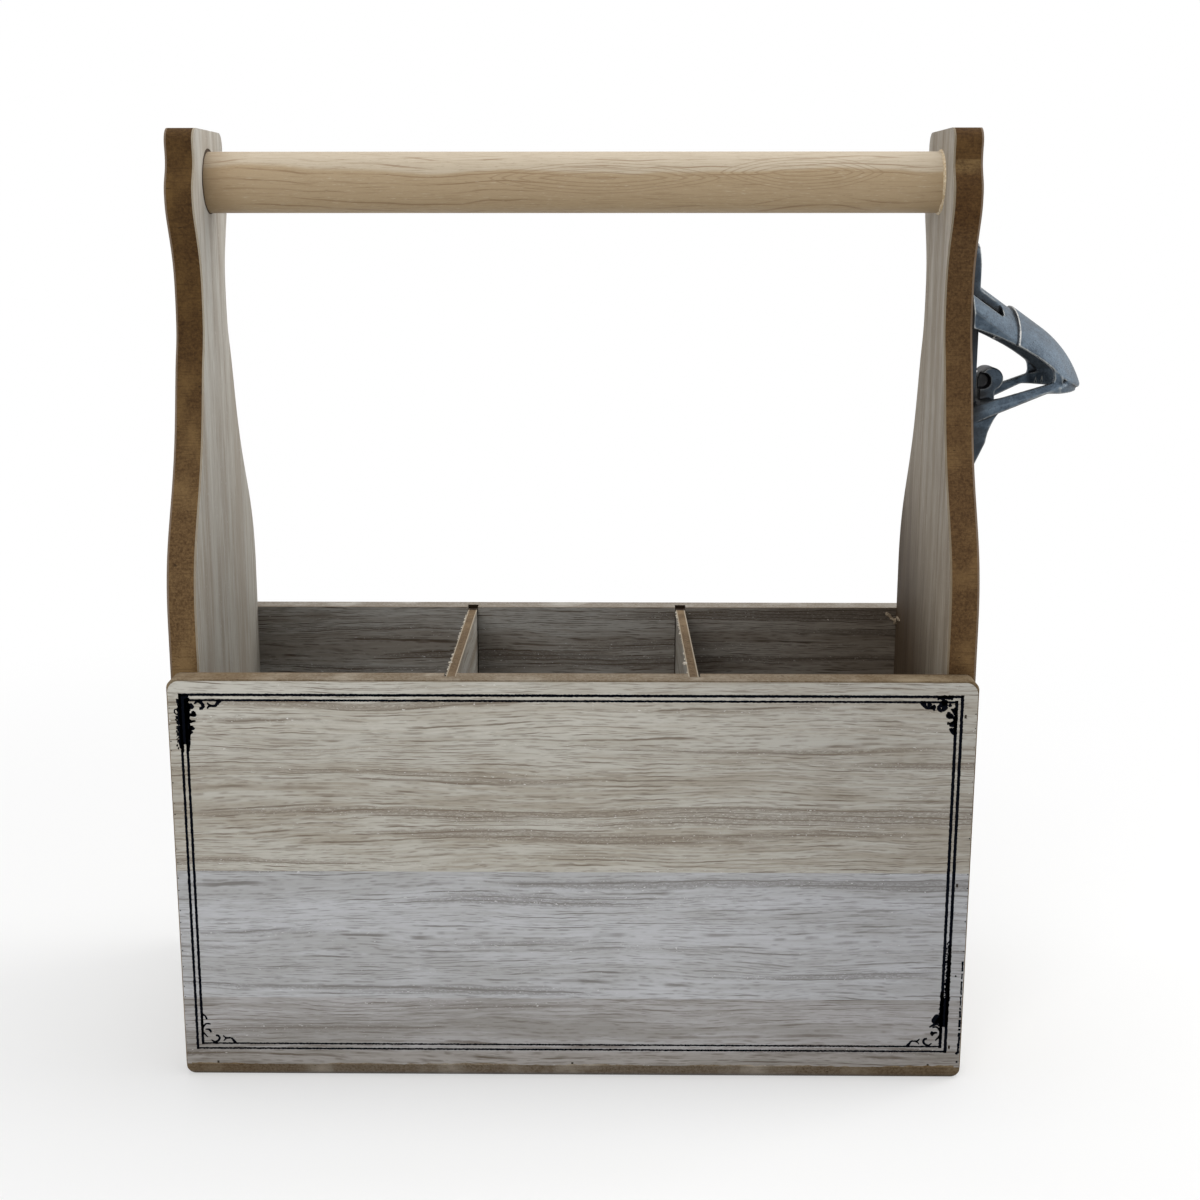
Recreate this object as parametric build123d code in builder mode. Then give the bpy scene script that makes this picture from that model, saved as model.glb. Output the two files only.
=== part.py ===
"""Bottle caddy: a veneered fibreboard crate with three bays, a dowel handle and a cast bottle opener.

Millimetres. X runs along the handle, Y from front to back, Z up.
The origin is on the ground under the middle of the crate, and the front faces -Y.
"""
from build123d import *
import os

# Crate
crate_width = 250.0
crate_depth = 110.0
panel_height = 132.0
panel_side_inset = 0.6
end_height = 297.0

# Boards are fibreboard with a thin veneer glued on both faces
board = 9.0
veneer = 0.6
panel_corner = 2.8
veneer_rim = 0.4
veneer_corner = 3.6
veneer_foot = 0.8
bottom_bevel_height = 4.0
bottom_bevel_depth = 0.9

# Outline of the two ends: the shoulder stands above the panels, the rest hangs from the top
shoulder_rise = 16.0
neck_drop = 49.5
neck_half = 16.0
bump_drop = 20.0
bump_half = 23.4
dip_drop = 9.0
dip_half = 20.0
crown_half = 20.7
crown_corner = 4.5
sweep_rise_share = (0.21, 0.38, 0.575, 0.785)
sweep_inset_share = (0.125, 0.42, 0.695, 0.885)
bump_rise_share = (0.42, 0.76)
bump_outset_share = (0.27, 0.84)

# Dividers, which drop into grooves that are open at the top
divider = 3.2
divider_veneer = 0.4
divider_spacing = 75.4
divider_top_drop = 1.0
divider_corner = 1.5
groove_depth = 4.0
slide_clearance = 0.3

# Handle
dowel_diameter = 19.0
dowel_drop = 16.0
dowel_clearance = 0.3
dowel_end_chamfer = 1.0

# Brads of flat wire that hold the front and the back on the ends and on the floor
brad_thickness = 0.7
brad_width = 0.9
brad_head_width = 1.2
brad_head = 0.9
brad_set = 0.3
brad_length = 25.0
brad_rows = 3
brad_edge_gap = 11.0
floor_brad_rows = 3
floor_brad_edge_gap = 11.0

# Opener casting, in reach from the wall and in rise or drop from its middle height
opener_drop = 76.0
plate = 4.0
plate_height = 83.0
tab_width = 16.0
hood_width = 40.0
hood_crown = 10.0
hood_skirt = 5.0
hood_wall = 2.6
hood_top = 32.5
slope_reach = 25.0
slope_drop = 17.6
nose_reach = 38.3
nose_drop = 2.9
nose_lip_drop = 5.0
edge_top_reach = 11.3
edge_middle_reach = 15.2
edge_middle_rise = 15.5
edge_low_reach = 13.9
edge_low_rise = 9.8
edge_waist_reach = 21.4
edge_waist_rise = 5.7
edge_front_reach = 29.6
edge_front_drop = 0.8
throat_inset = 1.1
throat_lap = 3.0
throat_arch_reach = 6.4
throat_arch_rise = 13.1
throat_root_rise = 15.2
vent_reach = 10.4
vent_width = 6.0
vent_corner = 1.2
ring_wall = 3.0
ring_root_half = 15.0
ring_shoulder_reach = 25.0
ring_shoulder_half = 19.4
ring_front_inset = 1.3
ring_top_drop = 12.5
ring_top_slope = 0.33
ring_bottom_drop = 15.9
ring_bottom_slope = 0.45
ring_rim_height = 2.2
ring_rim_taper = 35.0
ring_web = 8.6
ring_corner = 4.0
cheek_inset = 1.8
cheek_thickness = 2.2
cheek_arch_reach = 26.2
cheek_arch_rise = 0.3
cheek_edge_reach = 24.6
cheek_top_rise = 4.2
cheek_foot_drop = 4.6
cheek_front_reach = 29.0
gusset_reach = 10.5
gusset_waist_reach = 7.8
gusset_waist_drop = 15.6
gusset_back_reach = 7.0
gusset_back_drop = 21.0
gusset_end_drop = 30.5
lug_radius = 3.7
lug_reach = 9.4
lug_drop = 1.6
lug_half = 6.0
lug_stem_reach = 8.0
lug_stem_width = 5.0
lug_hollow_reach = 6.6
lug_hollow_drop = 2.2
lug_hollow_radius = 2.5
lug_hollow_depth = 3.6
screw_diameter = 3.6
screw_head_diameter = 7.4
screw_head = 2.2
screw_head_sink = 0.2
screw_hole_diameter = 4.2
screw_depth = 7.6
screw_edge_gap = 7.2
screw_slot = 1.0
screw_slot_depth = 0.9
screw_slot_share = 0.62
screw_taper = 40.0

# Worked out from the sizes above
overrun = 40.0
core = board - 2 * veneer
inner_half_width = crate_width / 2 - board
inner_half_depth = crate_depth / 2 - board
wall_face = crate_width / 2
shoulder_height = panel_height + shoulder_rise
neck_height = end_height - neck_drop
bump_height = end_height - bump_drop
dip_height = end_height - dip_drop
dowel_height = end_height - dowel_drop
opener_height = end_height - opener_drop
divider_half_length = inner_half_depth + groove_depth - slide_clearance
groove_width = divider + 2 * slide_clearance
groove_height = panel_height - board
dowel_hole_diameter = dowel_diameter + 2 * dowel_clearance
end_brad_rise = (panel_height - 2 * brad_edge_gap) / (brad_rows - 1)
floor_brad_spacing = (crate_width - 2 * floor_brad_edge_gap) / (floor_brad_rows - 1)
brad_grip = brad_length + brad_set - board
screw_spacing = plate_height - 2 * screw_edge_gap

# Planes through the origin that face out of the crate, with their own y upward
front_side = Plane.XZ
back_side = Plane((0, 0, 0), x_dir=(-1, 0, 0), z_dir=(0, 1, 0))
right_side = Plane.YZ
left_side = Plane((0, 0, 0), x_dir=(0, -1, 0), z_dir=(-1, 0, 0))

# Planes of the opener: against the wall, through its middle seen from the front, and flat
opener_place = (wall_face, 0, opener_height)
opener_wall = Plane(opener_place, x_dir=(0, 1, 0), z_dir=(1, 0, 0))
opener_middle = Plane(opener_place, x_dir=(1, 0, 0), z_dir=(0, -1, 0))
opener_flat = Plane(opener_place, x_dir=(1, 0, 0), z_dir=(0, 0, 1))

os.makedirs("parts", exist_ok=True)


def save(piece, label):
    """Label a finished piece and write its file."""
    piece.part.label = label
    export_step(piece.part, f"parts/{label}.step")


def panel_face(plane, foot=0.0, rim=0.0, corner=panel_corner):
    """Face of the front or back panel, from the height of its foot up to its top, less a rim."""
    with BuildSketch(plane) as face:
        with Locations((0, (panel_height - rim) / 2)):
            face_width = crate_width - 2 * panel_side_inset - 2 * rim
            RectangleRounded(face_width, panel_height - rim, corner)
        with Locations((0, foot - overrun / 2)):
            Rectangle(crate_width + overrun, overrun, mode=Mode.SUBTRACT)
    return face.sketch


def end_face(plane, foot=0.0):
    """Face of an end: straight below, an ogee sweep to the neck, then a bump round the handle."""
    sweep_rise = neck_height - shoulder_height
    sweep_inset = inner_half_depth - neck_half
    sweep = [(inner_half_depth, shoulder_height)]
    for rise_share, inset_share in zip(sweep_rise_share, sweep_inset_share):
        sweep_half = inner_half_depth - sweep_inset * inset_share
        sweep.append((sweep_half, shoulder_height + sweep_rise * rise_share))
    sweep.append((neck_half, neck_height))
    bump = [(neck_half, neck_height)]
    for rise_share, outset_share in zip(bump_rise_share, bump_outset_share):
        bump_point_half = neck_half + (bump_half - neck_half) * outset_share
        bump.append((bump_point_half, neck_height + (bump_height - neck_height) * rise_share))
    bump.append((bump_half, bump_height))
    upright = (0, 1)
    with BuildSketch(plane) as face:
        with BuildLine():
            Line((0, foot), (inner_half_depth, foot))
            Line((inner_half_depth, foot), (inner_half_depth, shoulder_height))
            Spline(*sweep, tangents=(upright, upright))
            Spline(*bump, tangents=(upright, upright))
            Spline((bump_half, bump_height), (dip_half, dip_height), tangents=(upright, upright))
            Spline((dip_half, dip_height), (crown_half, end_height), tangents=(upright, upright))
            Line((crown_half, end_height), (0, end_height))
            mirror(about=Plane.YZ)
        make_face()
        fillet(face.vertices().group_by(Axis.Y)[-1], crown_corner)
        with Locations((0, dowel_height)):
            Circle(dowel_hole_diameter / 2, mode=Mode.SUBTRACT)
    return face.sketch


def drive_brads(side, level, depth, width, mode):
    """Add or cut a flat bar at every brad of one side, inward from a plane at the given level."""
    with BuildSketch(side.offset(level)) as bars:
        with Locations((0, panel_height / 2)):
            with GridLocations(crate_width - board, end_brad_rise, 2, brad_rows):
                Rectangle(brad_thickness, width)
        with Locations((0, board / 2)):
            with GridLocations(floor_brad_spacing, 0, floor_brad_rows, 1):
                Rectangle(brad_thickness, width)
    extrude(bars.sketch, amount=-depth, mode=mode)


def cut_grooves(side):
    """Cut both divider grooves outward from a panel's inner face, from the floor's top upward."""
    with BuildSketch(side.offset(inner_half_depth)) as grooves:
        with Locations((0, board + groove_height)):
            with GridLocations(divider_spacing, 0, 2, 1):
                Rectangle(groove_width, 2 * groove_height)
    extrude(grooves.sketch, amount=groove_depth, mode=Mode.SUBTRACT)


# Front and back panels, which cover the edges of the ends and carry the divider grooves
for side_name, side in (("front", front_side), ("back", back_side)):
    is_front = side_name == "front"
    face_foot = bottom_bevel_height if is_front else veneer_foot
    outside = crate_depth / 2

    with BuildPart() as panel_core:
        extrude(panel_face(side.offset(inner_half_depth + veneer)), amount=core)
        if is_front:
            with BuildSketch(Plane.YZ.offset(-crate_width)):
                with BuildLine():
                    Polyline(
                        (veneer - outside, 0),
                        (veneer - outside + bottom_bevel_depth, 0),
                        (veneer - outside, bottom_bevel_height),
                        close=True,
                    )
                make_face()
            extrude(amount=2 * crate_width, mode=Mode.SUBTRACT)
        cut_grooves(side)
        drive_brads(side, outside, board + overrun, brad_width, Mode.SUBTRACT)
        drive_brads(side, outside, brad_set + brad_head, brad_head_width, Mode.SUBTRACT)
    save(panel_core, f"{side_name}_panel_core")

    with BuildPart() as face_veneer:
        face_outline = panel_face(side.offset(outside - veneer), face_foot, veneer_rim, veneer_corner)
        extrude(face_outline, amount=veneer)
        drive_brads(side, outside, brad_set + brad_head, brad_head_width, Mode.SUBTRACT)
    save(face_veneer, f"{side_name}_face_veneer")

    with BuildPart() as inside_veneer:
        extrude(panel_face(side.offset(inner_half_depth), veneer_foot), amount=veneer)
        cut_grooves(side)
        drive_brads(side, outside, board + overrun, brad_width, Mode.SUBTRACT)
    save(inside_veneer, f"{side_name}_inside_veneer")

    with BuildPart() as brads:
        drive_brads(side, outside - brad_set, brad_head, brad_head_width, Mode.ADD)
        drive_brads(side, outside - brad_set - brad_head, brad_length - brad_head, brad_width, Mode.ADD)
    save(brads, f"{side_name}_brads")

# The two ends, which stand between the panels and hold the handle
for side_name, side in (("left", left_side), ("right", right_side)):
    with BuildPart() as end_core:
        extrude(end_face(side.offset(inner_half_width + veneer)), amount=core)
        drive_brads(front_side, inner_half_depth, brad_grip, brad_width, Mode.SUBTRACT)
        drive_brads(back_side, inner_half_depth, brad_grip, brad_width, Mode.SUBTRACT)
        if side_name == "right":
            with BuildSketch(opener_wall) as pilot_holes:
                with GridLocations(0, screw_spacing, 1, 2):
                    Circle(screw_diameter / 2)
            extrude(amount=-screw_depth, mode=Mode.SUBTRACT)
    save(end_core, f"{side_name}_end_core")

    with BuildPart() as end_face_veneer:
        extrude(end_face(side.offset(wall_face - veneer), veneer_foot), amount=veneer)
        if side_name == "right":
            with BuildSketch(opener_wall) as pilot_holes:
                with GridLocations(0, screw_spacing, 1, 2):
                    Circle(screw_diameter / 2)
            extrude(amount=-screw_depth, mode=Mode.SUBTRACT)
    save(end_face_veneer, f"{side_name}_end_face_veneer")

    with BuildPart() as end_inside_veneer:
        extrude(end_face(side.offset(inner_half_width), veneer_foot), amount=veneer)
    save(end_inside_veneer, f"{side_name}_end_inside_veneer")

# Floor, flush with the foot of the panels
floor_layers = (
    ("floor_under_veneer", 0, veneer),
    ("floor_core", veneer, core),
    ("floor_top_veneer", board - veneer, veneer),
)
for label, level, thickness in floor_layers:
    with BuildPart() as floor_layer:
        with BuildSketch(Plane.XY.offset(level)):
            Rectangle(2 * inner_half_width, 2 * inner_half_depth)
        extrude(amount=thickness)
        drive_brads(front_side, inner_half_depth, brad_grip, brad_width, Mode.SUBTRACT)
        drive_brads(back_side, inner_half_depth, brad_grip, brad_width, Mode.SUBTRACT)
    save(floor_layer, label)

# Dividers: a thin core with a veneer on each face, standing on the floor in their grooves
divider_height = panel_height - divider_top_drop - board
divider_core = divider - 2 * divider_veneer


def divider_face(plane):
    """Face of a divider, standing on the floor, with its two upper corners rounded."""
    with BuildSketch(plane) as face:
        with Locations((0, board + divider_height / 2)):
            Rectangle(2 * divider_half_length, divider_height)
        fillet(face.vertices().group_by(Axis.Y)[-1], divider_corner)
    return face.sketch


for side_name, middle in (("left", -divider_spacing / 2), ("right", divider_spacing / 2)):
    with BuildPart() as divider_board:
        extrude(divider_face(Plane.YZ.offset(middle - divider_core / 2)), amount=divider_core)
    save(divider_board, f"{side_name}_divider_core")

    with BuildPart() as divider_skins:
        for level in (middle - divider / 2, middle + divider_core / 2):
            extrude(divider_face(Plane.YZ.offset(level)), amount=divider_veneer)
    save(divider_skins, f"{side_name}_divider_veneers")

# Handle: a dowel glued through both ends
with BuildPart() as handle:
    with BuildSketch(Plane.YZ.offset(-wall_face)):
        with Locations((0, dowel_height)):
            Circle(dowel_diameter / 2)
    extrude(amount=crate_width)
    chamfer(handle.edges().filter_by(GeomType.CIRCLE), dowel_end_chamfer)
save(handle, "handle_dowel")

# Opener: a wall plate with two screw tabs, a throat under a hood, and a ring round the mouth
hood_half = hood_width / 2
hood_radius = (hood_half**2 + hood_crown**2) / (2 * hood_crown)
tab_half = tab_width / 2
throat_half = hood_half - throat_inset


def hood_section(plane, half, radius, crest):
    """Section across the hood: an arch of the given outer radius with a short skirt on each side."""
    inner_radius = radius - hood_wall
    inner_half = half - hood_wall
    eave = (radius**2 - half**2) ** 0.5 - radius - crest
    inner_eave = (inner_radius**2 - inner_half**2) ** 0.5 - radius - crest
    foot = -hood_crown - hood_skirt
    with BuildSketch(plane) as section:
        with BuildLine():
            ThreePointArc((-half, eave), (0, -crest), (half, eave))
            Line((half, eave), (half, foot))
            Line((half, foot), (inner_half, foot))
            Line((inner_half, foot), (inner_half, inner_eave))
            ThreePointArc((inner_half, inner_eave), (0, -crest - hood_wall), (-inner_half, inner_eave))
            Line((-inner_half, inner_eave), (-inner_half, foot))
            Line((-inner_half, foot), (-half, foot))
            Line((-half, foot), (-half, eave))
        make_face()
    return section.sketch


slope_start = (0, hood_top)
slope_end = (slope_reach, hood_top - slope_drop)
with BuildLine(opener_middle) as slope:
    straight = Line(slope_start, slope_end)
    TangentArc(slope_end, (nose_reach, -nose_drop), tangent=straight % 1)
slope_wire = slope.wires()[0]
slope_plane = Plane(slope_wire @ 0, x_dir=(0, 1, 0), z_dir=slope_wire % 0)

with BuildPart() as hood:
    sweep(hood_section(slope_plane, hood_half, hood_radius, 0), path=slope_wire)
    with BuildSketch(opener_middle.offset(hood_width)):
        with BuildLine():
            edge_top = (edge_top_reach, hood_top)
            edge_low = (edge_low_reach, edge_low_rise)
            ThreePointArc(edge_top, (edge_middle_reach, edge_middle_rise), edge_low)
            edge_front = (edge_front_reach, -edge_front_drop)
            ThreePointArc(edge_low, (edge_waist_reach, edge_waist_rise), edge_front)
            Polyline(
                edge_front,
                (nose_reach, -nose_lip_drop),
                (nose_reach + overrun, -nose_lip_drop),
                (nose_reach + overrun, hood_top),
                edge_top,
            )
        make_face()
    extrude(amount=-2 * hood_width, mode=Mode.INTERSECT)

with BuildPart() as throat:
    extrude(hood_section(slope_plane, throat_half, hood_radius, throat_inset), amount=straight.length)
    with BuildSketch(opener_middle.offset(hood_width)):
        with BuildLine():
            root = (0, throat_root_rise)
            throat_end = (edge_low_reach + throat_lap, edge_low_rise)
            ThreePointArc(root, (throat_arch_reach, throat_arch_rise), (edge_low_reach, edge_low_rise))
            Polyline(
                (edge_low_reach, edge_low_rise),
                throat_end,
                (edge_low_reach + throat_lap, hood_top),
                (0, hood_top),
                root,
            )
        make_face()
    extrude(amount=-2 * hood_width, mode=Mode.INTERSECT)
    with BuildSketch(opener_flat) as vents:
        with Locations((vent_reach / 2, 0)):
            with GridLocations(0, tab_width + vent_width, 1, 2):
                RectangleRounded(vent_reach, vent_width, vent_corner)
    extrude(amount=hood_top, mode=Mode.SUBTRACT)


def ring_outline(plane, stretch):
    """Outline of the ring on a plane, with its reach stretched to make up for the plane's slant."""
    front = ring_shoulder_reach + ring_wall
    with BuildSketch(plane) as outline:
        with BuildLine():
            Polyline(
                (front * stretch, ring_shoulder_half),
                (ring_shoulder_reach * stretch, ring_shoulder_half),
                (0, ring_root_half),
                (0, -ring_root_half),
                (ring_shoulder_reach * stretch, -ring_shoulder_half),
                (front * stretch, -ring_shoulder_half),
            )
            ThreePointArc(
                (front * stretch, -ring_shoulder_half),
                ((nose_reach - ring_front_inset) * stretch, 0),
                (front * stretch, ring_shoulder_half),
            )
        make_face()
    return outline.sketch


ring_slant = Vector(1, 0, ring_top_slope).normalized()
ring_foot = (wall_face, 0, opener_height - ring_top_drop)
ring_slope = Plane(ring_foot, x_dir=ring_slant, z_dir=(-ring_slant.Z, 0, ring_slant.X))

with BuildPart() as ring:
    extrude(ring_outline(opener_flat.offset(-plate_height / 2), 1), amount=plate_height)
    with BuildSketch(opener_middle.offset(hood_width)):
        with BuildLine():
            Polyline(
                (0, -ring_top_drop),
                (nose_reach, -ring_top_drop + nose_reach * ring_top_slope),
                (nose_reach, -nose_lip_drop),
                ((ring_bottom_drop - nose_lip_drop) / ring_bottom_slope, -nose_lip_drop),
                (0, -ring_bottom_drop),
                (0, -ring_top_drop),
            )
        make_face()
    extrude(amount=-2 * hood_width, mode=Mode.INTERSECT)
    extrude(ring_outline(ring_slope, 1 / ring_slant.X), amount=ring_rim_height, taper=ring_rim_taper)
    with BuildSketch(opener_middle.offset(hood_width)):
        with Locations((-overrun / 2, 0)):
            Rectangle(overrun, 2 * plate_height)
    extrude(amount=-2 * hood_width, mode=Mode.SUBTRACT)
    with BuildSketch(opener_flat.offset(-plate_height / 2)) as mouth:
        with BuildLine():
            mouth_front = ring_shoulder_reach
            mouth_root = ring_web
            widening = (ring_shoulder_half - ring_root_half) / ring_shoulder_reach
            mouth_root_half = ring_root_half + mouth_root * widening - ring_wall
            mouth_half = ring_shoulder_half - ring_wall
            Polyline(
                (mouth_front, -mouth_half),
                (mouth_root, -mouth_root_half),
                (mouth_root, mouth_root_half),
                (mouth_front, mouth_half),
            )
            mouth_tip = nose_reach - ring_front_inset - ring_wall
            ThreePointArc((mouth_front, mouth_half), (mouth_tip, 0), (mouth_front, -mouth_half))
        make_face()
        mouth_corners = mouth.vertices().filter_by(lambda v: v.X - wall_face < mouth_front)
        fillet(mouth_corners, ring_corner)
    extrude(amount=plate_height, mode=Mode.SUBTRACT)

with BuildPart() as gusset:
    with BuildSketch(opener_middle.offset(ring_root_half)):
        with BuildLine():
            gusset_tip = (gusset_reach, -ring_bottom_drop + gusset_reach * ring_bottom_slope)
            gusset_back = (gusset_back_reach, -gusset_back_drop)
            ThreePointArc(gusset_tip, (gusset_waist_reach, -gusset_waist_drop), gusset_back)
            Polyline(
                gusset_back,
                (plate, -gusset_end_drop),
                (0, -gusset_end_drop),
                (0, -ring_top_drop),
                (ring_web, -ring_top_drop + ring_web * ring_top_slope),
                gusset_tip,
            )
        make_face()
    extrude(amount=-2 * ring_root_half)
    with BuildSketch(opener_wall):
        with BuildLine():
            Polyline(
                (-ring_root_half, 0),
                (-ring_root_half, -ring_bottom_drop),
                (-tab_half, -gusset_end_drop),
                (tab_half, -gusset_end_drop),
                (ring_root_half, -ring_bottom_drop),
                (ring_root_half, 0),
                close=True,
            )
        make_face()
    extrude(amount=overrun, mode=Mode.INTERSECT)

with BuildPart() as opener_body:
    with BuildSketch(opener_wall):
        SlotOverall(plate_height, tab_width, rotation=90)
    extrude(amount=plate)
    add(throat.part)
    add(hood.part)
    add(ring.part)
    add(gusset.part)
    for level in (hood_half - cheek_inset, -hood_half + cheek_inset + cheek_thickness):
        with BuildSketch(opener_middle.offset(level)):
            with BuildLine():
                cheek_top = (cheek_edge_reach, cheek_top_rise)
                cheek_foot = (cheek_edge_reach, -cheek_foot_drop)
                ThreePointArc(cheek_top, (cheek_arch_reach, cheek_arch_rise), cheek_foot)
                Polyline(cheek_foot, (cheek_front_reach, -cheek_foot_drop), (cheek_front_reach, 0), cheek_top)
            make_face()
        extrude(amount=-cheek_thickness)
    with BuildSketch(opener_middle.offset(lug_half)):
        with Locations((lug_reach, -lug_drop)):
            Circle(lug_radius)
        with Locations((lug_stem_reach, -lug_drop - ring_top_drop / 2)):
            Rectangle(lug_stem_width, ring_top_drop)
    extrude(amount=-2 * lug_half)
    for outward in (1, -1):
        with BuildSketch(opener_middle.offset(outward * lug_half)):
            with Locations((lug_hollow_reach, -lug_hollow_drop)):
                Circle(lug_hollow_radius)
        extrude(amount=-outward * lug_hollow_depth, mode=Mode.SUBTRACT)
    with BuildSketch(opener_wall):
        with GridLocations(0, screw_spacing, 1, 2):
            Circle(screw_hole_diameter / 2)
    extrude(amount=plate, mode=Mode.SUBTRACT)
    with BuildSketch(opener_wall.offset(plate + screw_head_sink)):
        with GridLocations(0, screw_spacing, 1, 2):
            Circle(screw_head_diameter / 2 + screw_head_sink)
    extrude(amount=-screw_head - screw_head_sink, taper=screw_taper, mode=Mode.SUBTRACT)
save(opener_body, "opener_body")

# Two countersunk screws hold the opener on the right end
with BuildPart() as opener_screws:
    with BuildSketch(opener_wall.offset(plate)):
        with GridLocations(0, screw_spacing, 1, 2):
            Circle(screw_head_diameter / 2)
    extrude(amount=-screw_head, taper=screw_taper)
    with BuildSketch(opener_wall.offset(plate - screw_head)):
        with GridLocations(0, screw_spacing, 1, 2):
            Circle(screw_diameter / 2)
    extrude(amount=-(plate - screw_head + screw_depth))
    with BuildSketch(opener_wall.offset(plate)):
        with GridLocations(0, screw_spacing, 1, 2):
            Rectangle(screw_head_diameter * screw_slot_share, screw_slot)
            Rectangle(screw_slot, screw_head_diameter * screw_slot_share)
    extrude(amount=-screw_slot_depth, mode=Mode.SUBTRACT)
save(opener_screws, "opener_screws")
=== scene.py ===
import math
import random

import bmesh
import bpy
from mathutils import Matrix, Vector, noise


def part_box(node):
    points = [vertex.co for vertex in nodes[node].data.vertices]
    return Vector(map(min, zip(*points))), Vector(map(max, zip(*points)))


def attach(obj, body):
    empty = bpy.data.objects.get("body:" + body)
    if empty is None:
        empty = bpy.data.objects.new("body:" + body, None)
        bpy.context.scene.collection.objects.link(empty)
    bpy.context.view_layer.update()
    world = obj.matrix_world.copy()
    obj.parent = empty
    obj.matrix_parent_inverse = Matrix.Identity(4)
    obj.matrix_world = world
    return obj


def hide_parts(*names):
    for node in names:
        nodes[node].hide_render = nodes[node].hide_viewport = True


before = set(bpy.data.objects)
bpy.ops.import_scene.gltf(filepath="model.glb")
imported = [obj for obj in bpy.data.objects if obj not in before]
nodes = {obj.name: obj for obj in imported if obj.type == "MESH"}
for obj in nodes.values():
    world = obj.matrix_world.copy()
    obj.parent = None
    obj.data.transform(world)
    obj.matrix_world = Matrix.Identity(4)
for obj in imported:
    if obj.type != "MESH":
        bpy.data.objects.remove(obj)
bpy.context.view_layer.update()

# Board cores: the crate's panels, ends, floor and dividers are fibreboard, sawn to shape. The veneer on
# their faces hides them, and the sawn edges are left bare: brown, with fine fibres, scorched patches and
# faint saw marks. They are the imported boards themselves, glued and nailed together.


def add_node(tree, kind, inputs=None, **settings):
    """A shader node with its settings, and with a value or a link on each named or numbered input."""
    node = tree.nodes.new("ShaderNode" + kind)
    for name, value in settings.items():
        setattr(node, name, value)
    for name, value in (inputs or {}).items():
        if isinstance(value, bpy.types.NodeSocket):
            tree.links.new(value, node.inputs[name])
        else:
            node.inputs[name].default_value = value
    return node


def maths(tree, operation, *values):
    """The result of a Math node on the given values or links."""
    node = add_node(tree, "Math", dict(enumerate(values)), operation=operation)
    return node.outputs[0]


def product(tree, first, *others):
    """The given values or links multiplied together."""
    for value in others:
        first = maths(tree, "MULTIPLY", first, value)
    return first


def blend_colours(tree, share, first, second, kind="MIX"):
    """The first colour with the second over it by the given share."""
    node = add_node(tree, "Mix", {0: share, 6: first, 7: second}, data_type="RGBA", blend_type=kind)
    return node.outputs[2]


def spread(tree, value, low, high, new_low=0.0, new_high=1.0):
    """The value stretched from one range to another, with smooth ends."""
    node = add_node(
        tree,
        "MapRange",
        {0: value, 1: low, 2: high, 3: new_low, 4: new_high},
        interpolation_type="SMOOTHSTEP",
    )
    return node.outputs[0]


def cloud(tree, place, size, detail, rough):
    """Soft noise whose lumps have the given size along each axis, in metres."""
    scaled = add_node(tree, "VectorMath", {0: place, 1: [1 / s for s in size]}, operation="MULTIPLY")
    made = add_node(
        tree,
        "TexNoise",
        {"Vector": scaled.outputs[0], "Scale": 1.0, "Detail": detail, "Roughness": rough},
    )
    return made.outputs["Fac"]


def new_group(name, inputs, outputs):
    """An empty node group with the named sockets: its tree, its inputs and its output node."""
    tree = bpy.data.node_groups.new(name, "ShaderNodeTree")
    for label, kind in inputs:
        tree.interface.new_socket(label, in_out="INPUT", socket_type="NodeSocket" + kind)
    for label, kind in outputs:
        tree.interface.new_socket(label, in_out="OUTPUT", socket_type="NodeSocket" + kind)
    return tree, tree.nodes.new("NodeGroupInput").outputs, tree.nodes.new("NodeGroupOutput")


def place_group(tree, group, values):
    """A node that uses the group in a material, with its own values or links."""
    node = tree.nodes.new("ShaderNodeGroup")
    node.node_tree = group
    for name, value in values.items():
        if isinstance(value, bpy.types.NodeSocket):
            tree.links.new(value, node.inputs[name])
        else:
            node.inputs[name].default_value = value
    return node.outputs


def new_material(name):
    """A material with its tree, its shader and the place of each point on its own piece."""
    material = bpy.data.materials.new(name)
    material.use_nodes = True
    tree = material.node_tree
    place = tree.nodes.new("ShaderNodeTexCoord").outputs["Object"]
    return material, tree, tree.nodes["Principled BSDF"], place


def raise_surface(tree, shader, height, depth):
    """A bump of the given depth, in metres, on the shader's normal."""
    bump = add_node(tree, "Bump", {"Strength": 1.0, "Distance": depth, "Height": height})
    tree.links.new(bump.outputs[0], shader.inputs["Normal"])


def srgb(red, green, blue):
    """A colour as seen on a screen, from 0 to 255, as the value a shader takes."""
    steps = [value / 255 for value in (red, green, blue)]
    return [s / 12.92 if s < 0.04045 else ((s + 0.055) / 1.055) ** 2.4 for s in steps] + [1.0]


fibre_group, given, result = new_group(
    "pressed_fibre",
    [("Place", "Vector"), ("Pale", "Color"), ("Middle", "Color"), ("Dark", "Color")],
    [("Color", "Color"), ("Height", "Float")],
)
fibres = cloud(fibre_group, given["Place"], (0.0009, 0.0009, 0.0009), 5.0, 0.75)
dust = cloud(fibre_group, given["Place"], (0.0003, 0.0003, 0.0003), 2.0, 0.6)
patches = cloud(fibre_group, given["Place"], (0.016, 0.016, 0.022), 3.0, 0.55)
saw_lean = 0.35
leaning = add_node(
    fibre_group, "VectorRotate", {0: given["Place"], "Angle": saw_lean}, rotation_type="X_AXIS"
)
saw_marks = cloud(fibre_group, leaning.outputs[0], (0.006, 0.012, 0.00045), 1.0, 0.5)
nicks = cloud(fibre_group, given["Place"], (0.0022, 0.0022, 0.0009), 1.0, 0.5)
tone = blend_colours(fibre_group, spread(fibre_group, fibres, 0.3, 0.66), given["Dark"], given["Middle"])
tone = blend_colours(fibre_group, spread(fibre_group, patches, 0.45, 0.8), tone, given["Pale"])
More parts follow.
